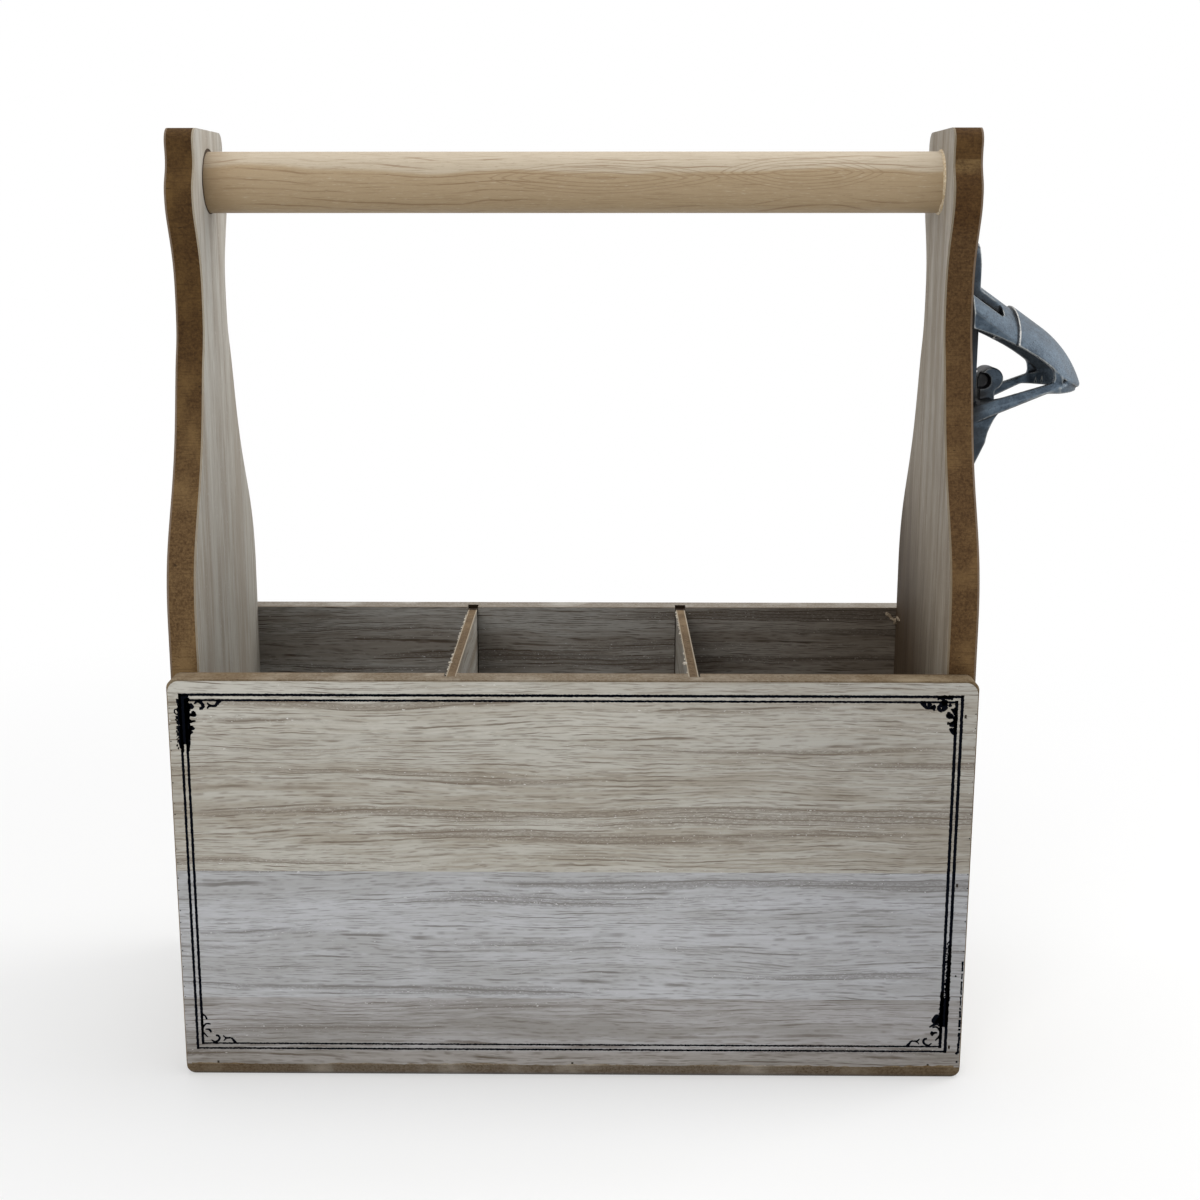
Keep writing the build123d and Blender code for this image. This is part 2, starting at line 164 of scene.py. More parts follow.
tone = blend_colours(fibre_group, spread(fibre_group, dust, 0.55, 0.8, 0.0, 0.6), tone, given["Dark"])
tone = blend_colours(fibre_group, spread(fibre_group, saw_marks, 0.52, 0.68, 0.0, 0.35), tone, given["Dark"])
soot = blend_colours(fibre_group, 0.6, given["Dark"], (0.01, 0.006, 0.003, 1.0))
tone = blend_colours(fibre_group, spread(fibre_group, nicks, 0.73, 0.8, 0.0, 0.8), tone, soot)
fibre_group.links.new(tone, result.inputs["Color"])
grains = maths(fibre_group, "MULTIPLY_ADD", dust, 0.6, fibres)
fibre_group.links.new(maths(fibre_group, "MULTIPLY_ADD", saw_marks, -0.5, grains), result.inputs["Height"])


def shaded(tree, place, tone, shades):
    """The tone multiplied by each shade's two colours, which change over between two places along a line."""
    for line, start, end, first, last in shades:
        reach = add_node(tree, "VectorMath", {0: place, 1: line}, operation="DOT_PRODUCT").outputs["Value"]
        veil = blend_colours(tree, spread(tree, reach, start, end), (*first, 1.0), (*last, 1.0))
        tone = blend_colours(tree, 1.0, tone, veil, "MULTIPLY")
    return tone


def fibreboard(name, pale, middle, dark, foot=None, shades=(), grooved=False):
    """Bare fibreboard edge in three tones, darker and greyer towards the bottom below the height of its foot,
    with painted shade in its grooves.
    """
    material, tree, shader, place = new_material(name)
    made = place_group(
        tree, fibre_group, {"Place": place, "Pale": srgb(*pale), "Middle": srgb(*middle), "Dark": srgb(*dark)}
    )
    tone = made["Color"]
    if foot:
        height = add_node(tree, "SeparateXYZ", {0: place}).outputs[2]
        # Below the height of its foot the board turns darker and greyer towards the bottom
        darker_foot = blend_colours(tree, 1.0, tone, srgb(218, 217, 218), "MULTIPLY")
        tone = blend_colours(tree, spread(tree, height, foot, foot * 0.7), tone, darker_foot)
        tone = blend_colours(tree, spread(tree, height, foot * 0.3, 0.0, 0.0, 0.7), tone, srgb(92, 92, 92))
    if grooved:
        # Painted shade: the groove floors, which face the front, are painted dark brown, darkest near the top
        # of the board
        normal = add_node(tree, "TexCoord").outputs["Normal"]
        facing_front = add_node(tree, "SeparateXYZ", {0: normal}).outputs[1]
        level = add_node(tree, "SeparateXYZ", {0: place}).outputs[2]
        deep, rim = 0.112, 0.126
        groove_shade_tone = blend_colours(tree, spread(tree, level, deep, rim), srgb(88, 68, 44), srgb(38, 26, 14))
        tone = blend_colours(tree, spread(tree, facing_front, -0.6, -0.9), tone, groove_shade_tone)
    tree.links.new(shaded(tree, place, tone, shades), shader.inputs["Base Color"])
    shader.inputs["Roughness"].default_value = 0.92
    shader.inputs["Specular IOR Level"].default_value = 0.2
    raise_surface(tree, shader, made["Height"], 0.00012)
    return material


def dress(name, material, eased=0.0):
    """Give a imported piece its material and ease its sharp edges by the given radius, in metres."""
    piece = nodes[name]
    piece.data.materials.clear()
    piece.data.materials.append(material)
    if eased:
        edge = piece.modifiers.new("eased edges", "BEVEL")
        edge.width = eased
        edge.segments = 2
        edge.limit_method = "ANGLE"
        edge.angle_limit = math.radians(50)
        edge.use_clamp_overlap = True


plain = (1.0, 1.0, 1.0)
across, backward, upward = (1.0, 0.0, 0.0), (0.0, 1.0, 0.0), (0.0, 0.0, 1.0)
end_tones = ((122, 96, 62), (98, 74, 46), (62, 42, 22))
left_shades = ((upward, 0.15, 0.24, (1.34, 1.44, 1.58), (0.74, 0.69, 0.54)),)
left_board = fibreboard("left_fibreboard", *end_tones, shades=left_shades)
# The right end is browner from its neck up, with one pale band across it under the top
neck, band_foot, band_top = 0.262, 0.2818, 0.287
right_shades = (
    (upward, neck, neck + 0.008, plain, (0.78, 0.7, 0.56)),
    (upward, band_foot, band_foot + 0.003, plain, (1.6, 1.9, 2.4)),
    (upward, band_top, band_top + 0.0008, plain, (0.62, 0.53, 0.42)),
)
right_board = fibreboard("right_fibreboard", *end_tones, shades=right_shades)
front_shades = (
    (across, 0.05, 0.115, plain, (0.78, 0.7, 0.56)),
    (across, -0.075, -0.11, plain, (0.88, 0.8, 0.68)),
)
front_tones = ((172, 163, 148), (138, 126, 109), (104, 88, 68))
foot_height = 0.0045
front_board = fibreboard("front_fibreboard", *front_tones, foot_height, front_shades)
back_tones = ((176, 172, 164), (148, 142, 134), (118, 107, 92))
back_board = fibreboard("back_fibreboard", *back_tones, foot_height, grooved=True)
divider_tones = ((138, 118, 92), (114, 96, 74), (84, 66, 46))
groove_mouth = 0.0455
# Painted shade: the dividers and their veneers are painted nearly black where they sit in the back panel's
# grooves
groove_shade = ((backward, groove_mouth, groove_mouth + 0.0006, plain, (0.12, 0.09, 0.06)),)
divider_board = fibreboard("divider_fibreboard", *divider_tones, shades=groove_shade)
dress("left_end_core", left_board)
for name in ("right_end_core", "floor_core"):
    dress(name, right_board)
dress("front_panel_core", front_board)
dress("back_panel_core", back_board)
for name in ("left_divider_core", "right_divider_core"):
    dress(name, divider_board)

# Veneers: thin sheets of pale, straight-grained wood, glued on both faces of every board, brushed with a
# grey wash and sanded. The front sheet is made up of four strips of slightly different tone. The grain
# runs along the panels and up the ends.

grain_group, given, result = new_group(
    "washed_grain",
    [
        ("Along", "Vector"),
        ("Wash", "Color"),
        ("Wood", "Color"),
        ("Pore", "Color"),
        ("Pore share", "Float"),
        ("Band share", "Float"),
    ],
    [("Color", "Color"), ("Height", "Float"), ("Roughness", "Float")],
)
sway = cloud(grain_group, given["Along"], (0.06, 0.018, 0.05), 1.0, 0.4)
ripple = cloud(grain_group, given["Along"], (0.008, 0.003, 0.01), 2.0, 0.5)
parts = add_node(grain_group, "SeparateXYZ", {0: given["Along"]}).outputs
swayed = maths(grain_group, "MULTIPLY_ADD", sway, 0.005, parts[1])
swayed = maths(grain_group, "MULTIPLY_ADD", ripple, 0.0011, swayed)
course = add_node(grain_group, "CombineXYZ", {0: parts[0], 1: swayed, 2: parts[2]}).outputs[0]
fine = cloud(grain_group, course, (0.022, 0.0008, 0.003), 2.0, 0.6)
bands = cloud(grain_group, course, (0.2, 0.008, 0.02), 2.0, 0.5)
blots = cloud(grain_group, given["Along"], (0.03, 0.008, 0.03), 3.0, 0.55)
rows = cloud(grain_group, course, (0.16, 0.0042, 0.02), 1.0, 0.5)
strength = cloud(grain_group, course, (0.016, 0.0034, 0.01), 2.0, 0.6)
crowd = cloud(grain_group, course, (0.3, 0.013, 0.05), 1.0, 0.4)
dashes = cloud(grain_group, course, (0.0055, 0.00042, 0.0008), 2.0, 0.6)
stipple = cloud(grain_group, course, (0.0013, 0.00045, 0.0006), 2.0, 0.6)


def grain_lines(spacing, crowding, half_width, length):
    """Thin dark lines at an uneven spacing in metres, each of which fades in and out along its length."""
    count = maths(grain_group, "MULTIPLY_ADD", crowd, crowding, maths(grain_group, "DIVIDE", swayed, spacing))
    off_line = maths(grain_group, "SUBTRACT", maths(grain_group, "FRACT", count), 0.5)
    off_line = maths(grain_group, "ABSOLUTE", off_line)
    number = product(grain_group, maths(grain_group, "FLOOR", count), 0.37)
    spot = add_node(grain_group, "CombineXYZ", {0: parts[0], 1: number, 2: parts[2]}).outputs[0]
    vigour = cloud(grain_group, spot, (length, 0.1, 0.05), 2.0, 0.6)
    vigour = maths(grain_group, "MULTIPLY_ADD", row, 0.22, vigour)
    thin = spread(grain_group, off_line, half_width, half_width * 0.35)
    return product(grain_group, thin, spread(grain_group, vigour, 0.44, 0.66))


row = spread(grain_group, rows, 0.55, 0.66)
wash = maths(grain_group, "MULTIPLY_ADD", fine, 0.7, product(grain_group, bands, 0.8))
wash = maths(grain_group, "MULTIPLY_ADD", blots, 0.5, wash)
tone = blend_colours(grain_group, spread(grain_group, wash, 0.8, 1.2), given["Wood"], given["Wash"])
stippled = product(grain_group, row, spread(grain_group, stipple, 0.3, 0.62, 0.15, 1.0), given["Band share"])
drawn = grain_lines(0.0018, 7.0, 0.17, 0.019)
hairs = product(grain_group, grain_lines(0.00083, 11.0, 0.34, 0.007), 0.62)
firm = spread(grain_group, strength, 0.3, 0.6, 0.2, 0.75)
pores = product(grain_group, spread(grain_group, dashes, 0.56, 0.76), firm)
pores = maths(grain_group, "MAXIMUM", pores, maths(grain_group, "MAXIMUM", drawn, hairs))
pores = product(grain_group, pores, given["Pore share"])
pores = maths(grain_group, "MAXIMUM", pores, stippled)
tone = blend_colours(grain_group, pores, tone, given["Pore"])
pale = blend_colours(grain_group, 0.55, given["Wash"], (1.0, 1.0, 1.0, 1.0))
on_rows = spread(grain_group, rows, 0.5, 0.6, 0.1, 1.0)
flecks = product(grain_group, spread(grain_group, stipple, 0.66, 0.74), on_rows, 0.8)
tone = blend_colours(grain_group, flecks, tone, pale)
grain_group.links.new(tone, result.inputs["Color"])
relief = maths(grain_group, "MULTIPLY_ADD", fine, 0.5, product(grain_group, pores, -1.0))
grain_group.links.new(relief, result.inputs["Height"])
grain_group.links.new(spread(grain_group, fine, 0.2, 0.8, 0.66, 0.84), result.inputs["Roughness"])


def turned(tree, place, order, shift):
    """The place with its axes in another order and moved, so that the grain runs along the first one."""
    axes = add_node(tree, "SeparateXYZ", {0: place}).outputs
    along = add_node(tree, "CombineXYZ", {i: axes["XYZ".index(axis)] for i, axis in enumerate(order)})
    moved = add_node(tree, "VectorMath", {0: along.outputs[0], 1: shift}, operation="ADD")
    return moved.outputs[0]


def finish_veneer(tree, shader, place, made, thickness, edge_stain, shades):
    """Lead the grain to the shader, and stain the thin sawn edges that stand along the thickness axis."""
    normal = add_node(tree, "TexCoord").outputs["Normal"]
    facing = add_node(tree, "SeparateXYZ", {0: normal}).outputs["XYZ".index(thickness)]
    facing = maths(tree, "ABSOLUTE", facing)
    tone = blend_colours(tree, spread(tree, facing, 0.75, 0.35, 0.0, 0.85), made["Color"], srgb(*edge_stain))
    tree.links.new(shaded(tree, place, tone, shades), shader.inputs["Base Color"])
    tree.links.new(made["Roughness"], shader.inputs["Roughness"])
    shader.inputs["Specular IOR Level"].default_value = 0.25
    raise_surface(tree, shader, made["Height"], 0.00009)


def veneer(name, order, shift, tones, shares, edge_stain=(112, 92, 66), shades=()):
    """Washed veneer with its grain along the first axis of the order and its thickness along the last."""
    material, tree, shader, place = new_material(name)
    values = {label: srgb(*tone) for label, tone in zip(("Wash", "Wood", "Pore"), tones)}
    values.update({"Pore share": shares[0], "Band share": shares[1]})
    values["Along"] = turned(tree, place, order, shift)
    finish_veneer(tree, shader, place, place_group(tree, grain_group, values), order[2], edge_stain, shades)
    return material


# Below this height the front sheet is darker and its grain is more open
margin_top = 0.0098


def strip_veneer(name, joints, tones, shades):
    """The front sheet: strips between the given heights, each with its own tones and stretch of grain."""
    material, tree, shader, place = new_material(name)
    height = add_node(tree, "SeparateXYZ", {0: place}).outputs[2]
    wash, wood, pore = (srgb(*tone) for tone in tones[0])
    slide = 0.0
    for joint, (next_wash, next_wood, next_pore) in zip(joints, tones[1:]):
        above = maths(tree, "GREATER_THAN", height, joint)
        wash = blend_colours(tree, above, wash, srgb(*next_wash))
        wood = blend_colours(tree, above, wood, srgb(*next_wood))
        pore = blend_colours(tree, above, pore, srgb(*next_pore))
        slide = maths(tree, "ADD", slide, above)
    margin = spread(tree, height, margin_top, margin_top - 0.0022)
    slid = add_node(tree, "CombineXYZ", {0: product(tree, slide, 0.61), 1: product(tree, slide, 0.173)})
    along = add_node(
        tree,
        "VectorMath",
        {0: turned(tree, place, "XZY", (0.0, 0.0, 0.0)), 1: slid.outputs[0]},
        operation="ADD",
    )
    values = {"Along": along.outputs[0], "Wash": wash, "Wood": wood, "Pore": pore}
    values["Pore share"] = maths(tree, "MULTIPLY_ADD", margin, 0.18, 0.8)
    values["Band share"] = maths(tree, "MULTIPLY_ADD", margin, 0.3, 0.62)
    finish_veneer(tree, shader, place, place_group(tree, grain_group, values), "Y", (128, 116, 98), shades)
    return material


strip_joints = (0.0272, 0.07, 0.1148)
strip_tones = (
    ((170, 168, 168), (145, 142, 138), (106, 98, 90)),
    ((184, 185, 188), (166, 166, 166), (108, 104, 100)),
    ((184, 181, 172), (158, 151, 138), (104, 90, 76)),
    ((190, 187, 178), (170, 164, 152), (104, 92, 78)),
)
# The front sheet carries a painted shade that darkens it towards the right, and is darker below margin_top
strip_shades = (
    ((1.0, 0.0, 0.35), 0.03, 0.14, plain, (0.84, 0.84, 0.85)),
    (upward, margin_top, margin_top - 0.002, plain, (0.84, 0.81, 0.76)),
)
front_sheet = strip_veneer("front_veneer", strip_joints, strip_tones, strip_shades)
long_sheet = veneer(
    "long_veneer", "XZY", (0.4, 0.2, 0.1), ((186, 184, 176), (162, 155, 144), (106, 92, 78)), (0.8, 0.6)
)
# Painted shade: the inside veneer darkens towards the right, deepest in the crate's back right corner
inside_painted_shade = ((across, -0.02, 0.13, plain, (0.47, 0.4, 0.33)),)
inside_tones = ((153, 151, 146), (125, 119, 111), (62, 48, 34))
inside_sheet = veneer(
    "inside_veneer", "XZY", (0.9, 0.5, 0.3), inside_tones, (0.85, 0.6), shades=inside_painted_shade
)
tall_tones = ((198, 195, 187), (174, 166, 154), (128, 112, 96))
tall_sheet = veneer("tall_veneer", "ZYX", (0.1, 0.7, 0.2), tall_tones, (0.42, 0.3), (96, 72, 46))
inner_rim = (150, 138, 118)
# Painted shade: the left end's inside veneer is darker low down inside the crate
inner_painted_shade = ((upward, 0.13, 0.27, (0.74, 0.73, 0.71), plain),)
inner_sheet = veneer("inner_veneer", "ZYX", (0.6, 0.3, 0.9), tall_tones, (0.42, 0.3), inner_rim, inner_painted_shade)
# The right end's inside veneer is a darker copy of the end veneer, partly its own tone and partly painted
# shade, with painted shade deepest low in its back corner and darker towards the bottom
shaded_tones = ((182, 175, 164), (155, 145, 131), (106, 90, 74))
corner_painted_shade = (
    ((0.0, 1.0, -1.0), -0.18, -0.1, plain, (0.22, 0.17, 0.12)),
    (upward, 0.215, 0.14, plain, (0.8, 0.75, 0.68)),
)
shaded_sheet = veneer(
    "shaded_veneer", "ZYX", (0.5, 0.9, 0.4), shaded_tones, (0.5, 0.35), (120, 108, 88), corner_painted_shade
)
floor_sheet = veneer(
    "floor_veneer", "XYZ", (1.3, 0.1, 0.6), ((176, 172, 164), (146, 136, 122), (100, 86, 70)), (0.6, 0.5)
)
cross_sheet = veneer(
    "cross_veneer",
    "YZX",
    (0.2, 1.1, 0.4),
    ((178, 175, 168), (150, 142, 130), (106, 92, 76)),
    (0.6, 0.4),
    (152, 139, 119),
    groove_shade,
)
dress("front_face_veneer", front_sheet)
dress("back_face_veneer", long_sheet)
for name in ("front_inside_veneer", "back_inside_veneer"):
    dress(name, inside_sheet)
for side, inner in (("left", inner_sheet), ("right", shaded_sheet)):
    dress(f"{side}_end_face_veneer", tall_sheet)
    dress(f"{side}_end_inside_veneer", inner)
    dress(f"{side}_divider_veneers", cross_sheet)
for name in ("floor_under_veneer", "floor_top_veneer"):
    dress(name, floor_sheet)

# Printed border: a frame of two lines round the front with a scroll flourish in each corner, screen printed
# in blue-black ink. The ink lies rough on the open grain. It has run together at the upper left and the
# lower right, and has rubbed off on the sheet's right edge. Each stroke is a thin raised film of ink.

face_low, face_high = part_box("front_face_veneer")
film, stroke_step, curve_steps = 0.00002, 0.0004, 6
line_gap = 0.0017
frame_left, frame_right = face_low.x + 0.0037, face_high.x - 0.0047
frame_foot, frame_top = face_low.z + 0.0055, face_high.z - 0.0043
ink_random = random.Random(7)


def jitter(amount):
    """A small random offset."""
    return ink_random.uniform(-amount, amount)


def ink_stroke(mesh, path, widths, rough=0.00008):
    """Lay a film of ink along a path on the front face, with a width at each of its points."""
    points = []
    for (start, end), (width, next_width) in zip(zip(path, path[1:]), zip(widths, widths[1:])):
        length = math.dist(start, end)
        count = max(1, round(length / stroke_step))
        for i in range(count):
            t = i / count
            spot = [a + (b - a) * t for a, b in zip(start, end)]
            points.append((*spot, width + (next_width - width) * t))
    points.append((*path[-1], widths[-1]))
    rails = []
    for i, (x, z, width) in enumerate(points):
        before, after = points[max(i - 1, 0)], points[min(i + 1, len(points) - 1)]
        run = Vector((after[0] - before[0], after[1] - before[1]))
        run = run.normalized() if run.length else Vector((1.0, 0.0))
        side = Vector((-run.y, run.x))
        half = width / 2
        left = Vector((x, z)) + side * (half + jitter(rough))
        right = Vector((x, z)) - side * (half + jitter(rough))
        rails.append((left, right))
    front = face_low.y - film
    rings = []
    for left, right in rails:
        corners = [(left, front), (right, front), (right, face_low.y), (left, face_low.y)]
        rings.append([mesh.verts.new((spot.x, depth, spot.y)) for spot, depth in corners])
    for ring, after in zip(rings, rings[1:]):
        for i in range(4):
            mesh.faces.new((ring[i], after[i], after[(i + 1) % 4], ring[(i + 1) % 4]))
    mesh.faces.new(rings[0])
    mesh.faces.new(reversed(rings[-1]))


def curve_points(anchors):
    """A smooth line through the anchors, as points close together."""
    ends = [anchors[0], *anchors, anchors[-1]]
    points = []
    for a, b, c, d in zip(ends, ends[1:], ends[2:], ends[3:]):
        for i in range(curve_steps):
            t = i / curve_steps
            spot = []
            for p, q, r, s in zip(a, b, c, d):
                bend = 2 * q + (r - p) * t + (2 * p - 5 * q + 4 * r - s) * t**2
                spot.append(0.5 * (bend + (3 * q - p - 3 * r + s) * t**3))
            points.append(tuple(spot))
    points.append(tuple(anchors[-1]))
    return points


def ink_blot(mesh, x, z, reach):
    """Lay a blot of ink, ragged all round, at a place in millimetres."""
    count = 18
    rims = []
    for depth in (face_low.y - film, face_low.y):
        rims.append([])
        for i in range(count):
            turn = 2 * math.pi * i / count
            ragged = jitter(0.14) if len(rims) == 1 else 0.0
            away = reach / 1000 * (0.95 + 0.12 * math.sin(3 * turn + x) + ragged)
            spot = (x / 1000 + away * math.cos(turn), depth, z / 1000 + away * math.sin(turn))
            rims[-1].append(mesh.verts.new(spot))
    mesh.faces.new(rims[0])
    mesh.faces.new(reversed(rims[1]))
    for i in range(count):
        after = (i + 1) % count
        mesh.faces.new((rims[0][i], rims[1][i], rims[1][after], rims[0][after]))


def frame_lines(mesh, inset, widths):
    """One rectangle of the frame, with widths in millimetres for its left, top, right and lower line."""
    left, right = frame_left + inset, frame_right - inset
    foot, top = frame_foot + inset, frame_top - inset
    corners = [(left, foot), (left, top), (right, top), (right, foot), (left, foot)]
    for start, end, width in zip(corners, corners[1:], widths):
        run = Vector(end) - Vector(start)
        reach = width / 2000 / run.length
        start, end = Vector(start) - run * reach, Vector(end) + run * reach
        ink_stroke(mesh, [tuple(start), tuple(end)], [width / 1000] * 2)


# Flourishes in millimetres along the inner line and away from it: anchors, then widths from end to end
flat_flourish = (
    (((10.5, 0.0), (9.9, 0.9), (9.1, 1.8), (7.7, 1.8)), (1.1, 0.85, 0.6, 0.6)),
    (((7.8, 1.8), (7.1, 2.1), (6.6, 2.7)), (0.6, 0.5, 0.35)),
    (((7.8, 1.8), (7.2, 1.4), (6.7, 0.8)), (0.6, 0.5, 0.3)),
    (((4.2, 2.7), (4.9, 2.6), (5.4, 1.9), (5.0, 1.0), (4.0, 0.3)), (0.6, 0.75, 0.8, 0.75, 0.8)),
    (((4.3, 0.3), (3.5, 0.5), (2.7, 1.2)), (0.9, 0.6, 0.35)),
)
tall_flourish = (
    (((10.0, 0.0), (9.4, 1.1), (8.2, 1.6)), (0.9, 0.6, 0.65)),
    (((5.2, 0.1), (6.4, 0.9), (6.8, 1.6), (6.6, 2.7)), (0.6, 0.5, 0.5, 0.45)),
    (((4.8, 1.0), (4.8, 1.9), (4.4, 2.5), (3.7, 2.7)), (0.4, 0.7, 0.8, 0.5)),
    (((3.7, 0.2), (3.0, 0.8), (2.1, 1.6)), (0.8, 0.55, 0.35)),
    (((9.8, 0.1), (6.5, 0.15), (2.5, 0.1)), (0.3, 0.6, 0.5)),
)


def corner_flourish(mesh, corner, inward, weight, strokes, upright):
    """Draw a flourish along one of the lines that meet at an inner corner."""
    for anchors, widths in strokes:
        spots = []
        for along, away in anchors:
            x, z = (away, along) if upright else (along, away)
            spots.append((corner[0] + inward[0] * x / 1000, corner[1] + inward[1] * z / 1000))
        path = curve_points(spots)
        drawn = []
        for i in range(len(path)):
            share = i / (len(path) - 1) * (len(widths) - 1)
            k = min(int(share), len(widths) - 2)
            drawn.append((widths[k] + (widths[k + 1] - widths[k]) * (share - k)) * weight / 1000)
        ink_stroke(mesh, path, drawn, rough=0.00006)


def new_piece(name, mesh, material, body):
    """A mesh object of the object's own, riding on a body."""
    bmesh.ops.recalc_face_normals(mesh, faces=mesh.faces)
    data = bpy.data.meshes.new(name)
    mesh.to_mesh(data)
    mesh.free()
    data.materials.append(material)
    piece = bpy.data.objects.new(name, data)
    bpy.context.scene.collection.objects.link(piece)
    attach(piece, body)


ink, tree, shader, place = new_material("border_ink")
worn = cloud(tree, place, (0.0009, 0.0009, 0.0003), 3.0, 0.6)
worn_colour = blend_colours(tree, spread(tree, worn, 0.55, 0.8, 0.0, 0.6), srgb(4, 6, 13), srgb(26, 26, 30))
tree.links.new(worn_colour, shader.inputs["Base Color"])
shader.inputs["Roughness"].default_value = 0.7
shader.inputs["Specular IOR Level"].default_value = 0.02
raise_surface(tree, shader, worn, 0.00003)

border = bmesh.new()
frame_lines(border, 0.0, (0.85, 0.85, 1.0, 0.6))
frame_lines(border, line_gap, (0.85, 0.7, 1.0, 0.55))
inner_left, inner_right = frame_left + line_gap, frame_right - line_gap
inner_foot, inner_top = frame_foot + line_gap, frame_top - line_gap
for corner, inward, flat_weight, tall_weight in (
    ((inner_left, inner_foot), (1, 1), 1.0, 1.0),
    ((inner_right, inner_foot), (-1, 1), 1.0, 1.15),
    ((inner_left, inner_top), (1, -1), 1.4, 1.3),
    ((inner_right, inner_top), (-1, -1), 1.6, 1.6),
):
    corner_flourish(border, corner, inward, flat_weight, flat_flourish, False)
    corner_flourish(border, corner, inward, tall_weight, tall_flourish, True)

# Smears in millimetres: the points of each, then the widths at its two ends and how ragged it is
for points, widths, rough in (
    (((-119.2, 127.3), (-119.15, 119.0), (-119.1, 111.4)), (3.2, 3.1), 0.11),
    (((-117.9, 126.4), (-117.6, 120.0), (-117.9, 113.0)), (1.0, 0.8), 0.3),
    (((-120.9, 126.0), (-121.0, 118.0), (-120.6, 110.0)), (0.8, 0.9), 0.3),
    (((-120.2, 112.0), (-120.1, 108.8)), (1.3, 0.9), 0.12),
    (((-118.3, 112.0), (-118.4, 109.3)), (1.2, 0.9), 0.12),
    (((-117.6, 118.7), (-115.7, 118.9)), (1.1, 0.5), 0.08),
    (((111.6, 127.0), (116.4, 127.1)), (1.2, 1.5), 0.25),
    (((119.15, 46.0), (119.15, 27.0)), (0.95, 1.7), 0.26),
    (((118.95, 27.0), (118.85, 18.0)), (1.7, 2.0), 0.26),
    (((117.5, 30.0), (117.4, 18.2)), (1.1, 1.6), 0.2),
    (((116.4, 19.4), (113.9, 17.9)), (1.4, 0.4), 0.08),
):
    ends = [widths[0] + (widths[1] - widths[0]) * i / (len(points) - 1) for i in range(len(points))]
    ink_stroke(border, [(x / 1000, z / 1000) for x, z in points], [w / 1000 for w in ends], rough / 1000)
# Blots in millimetres: the place of each and its half width
for x, z, reach in (
    (-116.9, 123.6, 0.95),
    (-116.3, 121.1, 1.0),
    (-116.9, 116.6, 0.8),
    (-117.2, 115.3, 0.55),
    (113.9, 125.5, 1.05),
    (113.9, 123.7, 1.0),
    (115.6, 124.6, 0.6),
    (117.1, 123.1, 0.85),
    (115.4, 121.7, 0.85),
    (116.3, 121.0, 0.8),
    (117.5, 120.3, 0.8),
    (116.5, 118.5, 0.95),
    (115.3, 118.8, 0.45),
    (116.9, 116.8, 0.7),
    (109.3, 124.9, 0.8),
    (110.9, 124.0, 0.55),
    (116.2, 20.6, 1.75),
    (114.9, 15.9, 0.65),
    (123.0, 8.9, 0.5),
    (123.2, 5.9, 0.35),
    (121.5, 35.5, 0.3),
):
    ink_blot(border, x, z, reach)
curl = curve_points([(-0.1208, 0.1228), (-0.1219, 0.1225), (-0.122, 0.1214), (-0.1211, 0.1209)])
ink_stroke(border, curl, [0.0004] * len(curl))
# Specks left of the frame, then on its right lines, in millimetres: how many, the place of the first, how
# far they stray up or down, their least half width and how much more they can have
speck_step, stray = 0.5, 0.3
for count, first_x, first_z, rise, least, more in (
    (22, -121.6, 120.4, 0.2, 0.16, 0.24),
    (40, inner_right * 1000 + 0.85, 47.0, 0.25, 0.12, 0.3),
):
    for i in range(count):
        x, z = first_x + jitter(stray), first_z - i * speck_step + jitter(rise)
        ink_blot(border, x, z, least + abs(jitter(more)))
# The rest of a line that has rubbed off on the right edge, then specks down both edges
rub = face_high.x - 0.00055
drop, rub_end = 0.0405, 0.0095
while drop > rub_end:
    length = 0.0006 + abs(jitter(0.003))
    width = 0.00062 + jitter(0.00026)
    x = rub + jitter(0.00012)
    ink_stroke(border, [(x, drop), (x + jitter(0.0001), drop - length)], [width, width], rough=0.0001)
    drop -= length + abs(jitter(0.0008))
edge_specks, lowest, climb, edge_gap = 46, 9.0, 2.55, 0.35
for i in range(edge_specks):
    side = -1 if i % 2 else 1
    x = side * (face_high.x * 1000 - edge_gap + jitter(0.12))
    ink_blot(border, x, lowest + i * climb + jitter(1.2), 0.09 + abs(jitter(0.14)))
new_piece("printed_border", border, ink, "crate")

# Worn foot of the front: along its lower edge the veneer has chipped away from the bevel, which leaves a wavy
# line with bare fibreboard under it. The bare board is a thin layer over the foot of the sheet.

foot_edge = bmesh.new()
chip_step, chip_limit, chip_drop, chip_inset = 0.0006, 0.0012, 0.00004, 0.0015
mean_chip, long_wave, short_wave = 0.00028, 0.0007, 0.00045
chip_count = round((face_high.x - face_low.x - 2 * chip_inset) / chip_step)
chip_rows = []
for i in range(chip_count + 1):
    x = face_low.x + chip_inset + i * chip_step
    wave = mean_chip + long_wave * noise.noise(Vector((x * 45, 0.3, 0.0)))
    wave += short_wave * noise.noise(Vector((x * 420, 1.7, 0.0)))
    rise = min(max(wave, film), chip_limit)
    outside, inside = face_low.y - film, face_low.y
    spots = [(outside, rise), (outside, -chip_drop), (inside, -chip_drop), (inside, rise)]
    chip_rows.append([foot_edge.verts.new((x, depth, face_low.z + height)) for depth, height in spots])
for row, after in zip(chip_rows, chip_rows[1:]):
    for i in range(4):
        foot_edge.faces.new((row[i], after[i], after[(i + 1) % 4], row[(i + 1) % 4]))
foot_edge.faces.new(chip_rows[0])
foot_edge.faces.new(reversed(chip_rows[-1]))
new_piece("chipped_foot", foot_edge, front_board, "crate")
